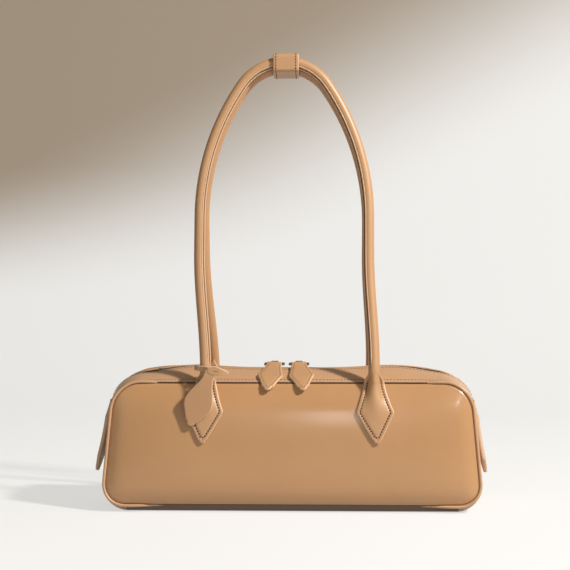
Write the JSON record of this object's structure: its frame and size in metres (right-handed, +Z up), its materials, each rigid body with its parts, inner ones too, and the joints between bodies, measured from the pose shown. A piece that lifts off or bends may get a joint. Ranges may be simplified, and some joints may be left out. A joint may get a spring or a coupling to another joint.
{
  "type": "baguette bag",
  "caption": "Long, low leather bag with a zipped top, two tall rolled handles held by a keeper, leather zip pulls, end tabs and a hanging leather tag.",
  "frame": {"origin": "middle of the flat base, on the floor", "axes": "+X along the bag to the right as seen from the front, -Y out of the front panel, +Z up"},
  "size_m": [0.3184, 0.1018, 0.3694],
  "materials": {
    "panel_leather": "smooth tan leather with a soft shine",
    "band_leather": "smooth tan leather with a soft shine",
    "piping_leather": "smooth tan leather drawn over a cord",
    "handle_leather": "smooth tan leather with a soft shine",
    "trim_leather": "smooth tan leather with painted edges",
    "zip_tape": "dark woven tape",
    "zip_metal": "dark plated metal",
    "lining_cloth": "plain woven cloth",
    "patch_cloth": "plain reinforcing cloth",
    "stiffener_board": "bonded board",
    "core_cord": "laid cotton cord"
  },
  "bodies": {
    "bag": {"front_panel": "panel_leather", "back_panel": "panel_leather", "base_panel": "panel_leather", "left_end_panel": "band_leather", "right_end_panel": "band_leather", "front_piping": "piping_leather", "back_piping": "piping_leather", "front_band_ends": "band_leather", "back_band_ends": "band_leather", "zip_tape_ends": "zip_tape", "zip_teeth_ends": "zip_metal", "zip_stops": "zip_metal", "front_stiffener": "stiffener_board", "back_stiffener": "stiffener_board", "base_board": "stiffener_board", "front_lining": "lining_cloth", "back_lining": "lining_cloth", "base_lining": "lining_cloth", "left_end_lining": "lining_cloth", "right_end_lining": "lining_cloth", "handle_patches": "patch_cloth", "inner_pocket": "lining_cloth", "front_handle": "handle_leather", "back_handle": "handle_leather", "front_handle_core": "core_cord", "back_handle_core": "core_cord", "charm_lace": "handle_leather"},
    "mouth_front": {"front_band": "band_leather", "front_zip_tape": "zip_tape", "front_zip_teeth": "zip_metal"},
    "mouth_back": {"back_band": "band_leather", "back_zip_tape": "zip_tape", "back_zip_teeth": "zip_metal"},
    "slider_right": {"right_slider": "zip_metal"},
    "pull_right": {"right_pull_ring": "zip_metal", "right_pull": "trim_leather"},
    "slider_left": {"left_slider": "zip_metal"},
    "pull_left": {"left_pull_ring": "zip_metal", "left_pull": "trim_leather"},
    "end_tab_left": {"left_end_tab": "trim_leather"},
    "end_tab_right": {"right_end_tab": "trim_leather"},
    "charm": {"charm_tag": "trim_leather"},
    "keeper": {"handle_keeper": "handle_leather"}
  },
  "joints": [
    {"name": "zip_right", "type": "slide", "parent": "bag", "child": "slider_right", "axis": [1, 0, 0], "range_m": [0, 0.095], "deforming": ["right_pull"]},
    {"name": "zip_left", "type": "slide", "parent": "bag", "child": "slider_left", "axis": [-1, 0, 0], "range_m": [0, 0.0855], "deforming": ["left_pull"]},
    {"name": "mouth_front_fold", "type": "hinge", "parent": "bag", "child": "mouth_front", "pos_m": [0, -0.0363, 0.1014], "axis": [-1, 0, 0], "range_deg": [0, 75], "deforming": ["front_zip_tape", "front_zip_teeth"]},
    {"name": "mouth_back_fold", "type": "hinge", "parent": "bag", "child": "mouth_back", "pos_m": [0, 0.0363, 0.1014], "axis": [1, 0, 0], "range_deg": [0, 75], "deforming": ["back_zip_tape", "back_zip_teeth"]},
    {"name": "pull_right_swing", "type": "hinge", "parent": "slider_right", "child": "pull_right", "pos_m": [0.005, 0, 0.1156], "axis": [-1, 0, 0], "range_deg": [0, 180]},
    {"name": "pull_left_swing", "type": "hinge", "parent": "slider_left", "child": "pull_left", "pos_m": [-0.015, 0, 0.1156], "axis": [-1, 0, 0], "range_deg": [0, 180]},
    {"name": "end_tab_right_lift", "type": "hinge", "parent": "bag", "child": "end_tab_right", "pos_m": [0.14982, 0, 0.086], "axis": [0, -1, 0], "range_deg": [0, 75]},
    {"name": "end_tab_left_lift", "type": "hinge", "parent": "bag", "child": "end_tab_left", "pos_m": [-0.14982, 0, 0.086], "axis": [0, 1, 0], "range_deg": [0, 75]},
    {"name": "charm_lift", "type": "hinge", "parent": "bag", "child": "charm", "pos_m": [-0.06323, -0.05076, 0.1128], "axis": [-1, 0, 0], "range_deg": [0, 85]},
    {"name": "keeper_slip", "type": "hinge", "parent": "bag", "child": "keeper", "pos_m": [-0.0067, 0, 0.3185], "axis": [0, 1, 0], "range_deg": [-14, 14]}
  ],
  "couplings": [
    {"joint": "zip_left", "follows": "zip_right", "ratio": 0.9},
    {"joint": "mouth_front_fold", "follows": "zip_right", "rad_per_m": 13.77},
    {"joint": "mouth_back_fold", "follows": "zip_right", "rad_per_m": 13.77}
  ]
}
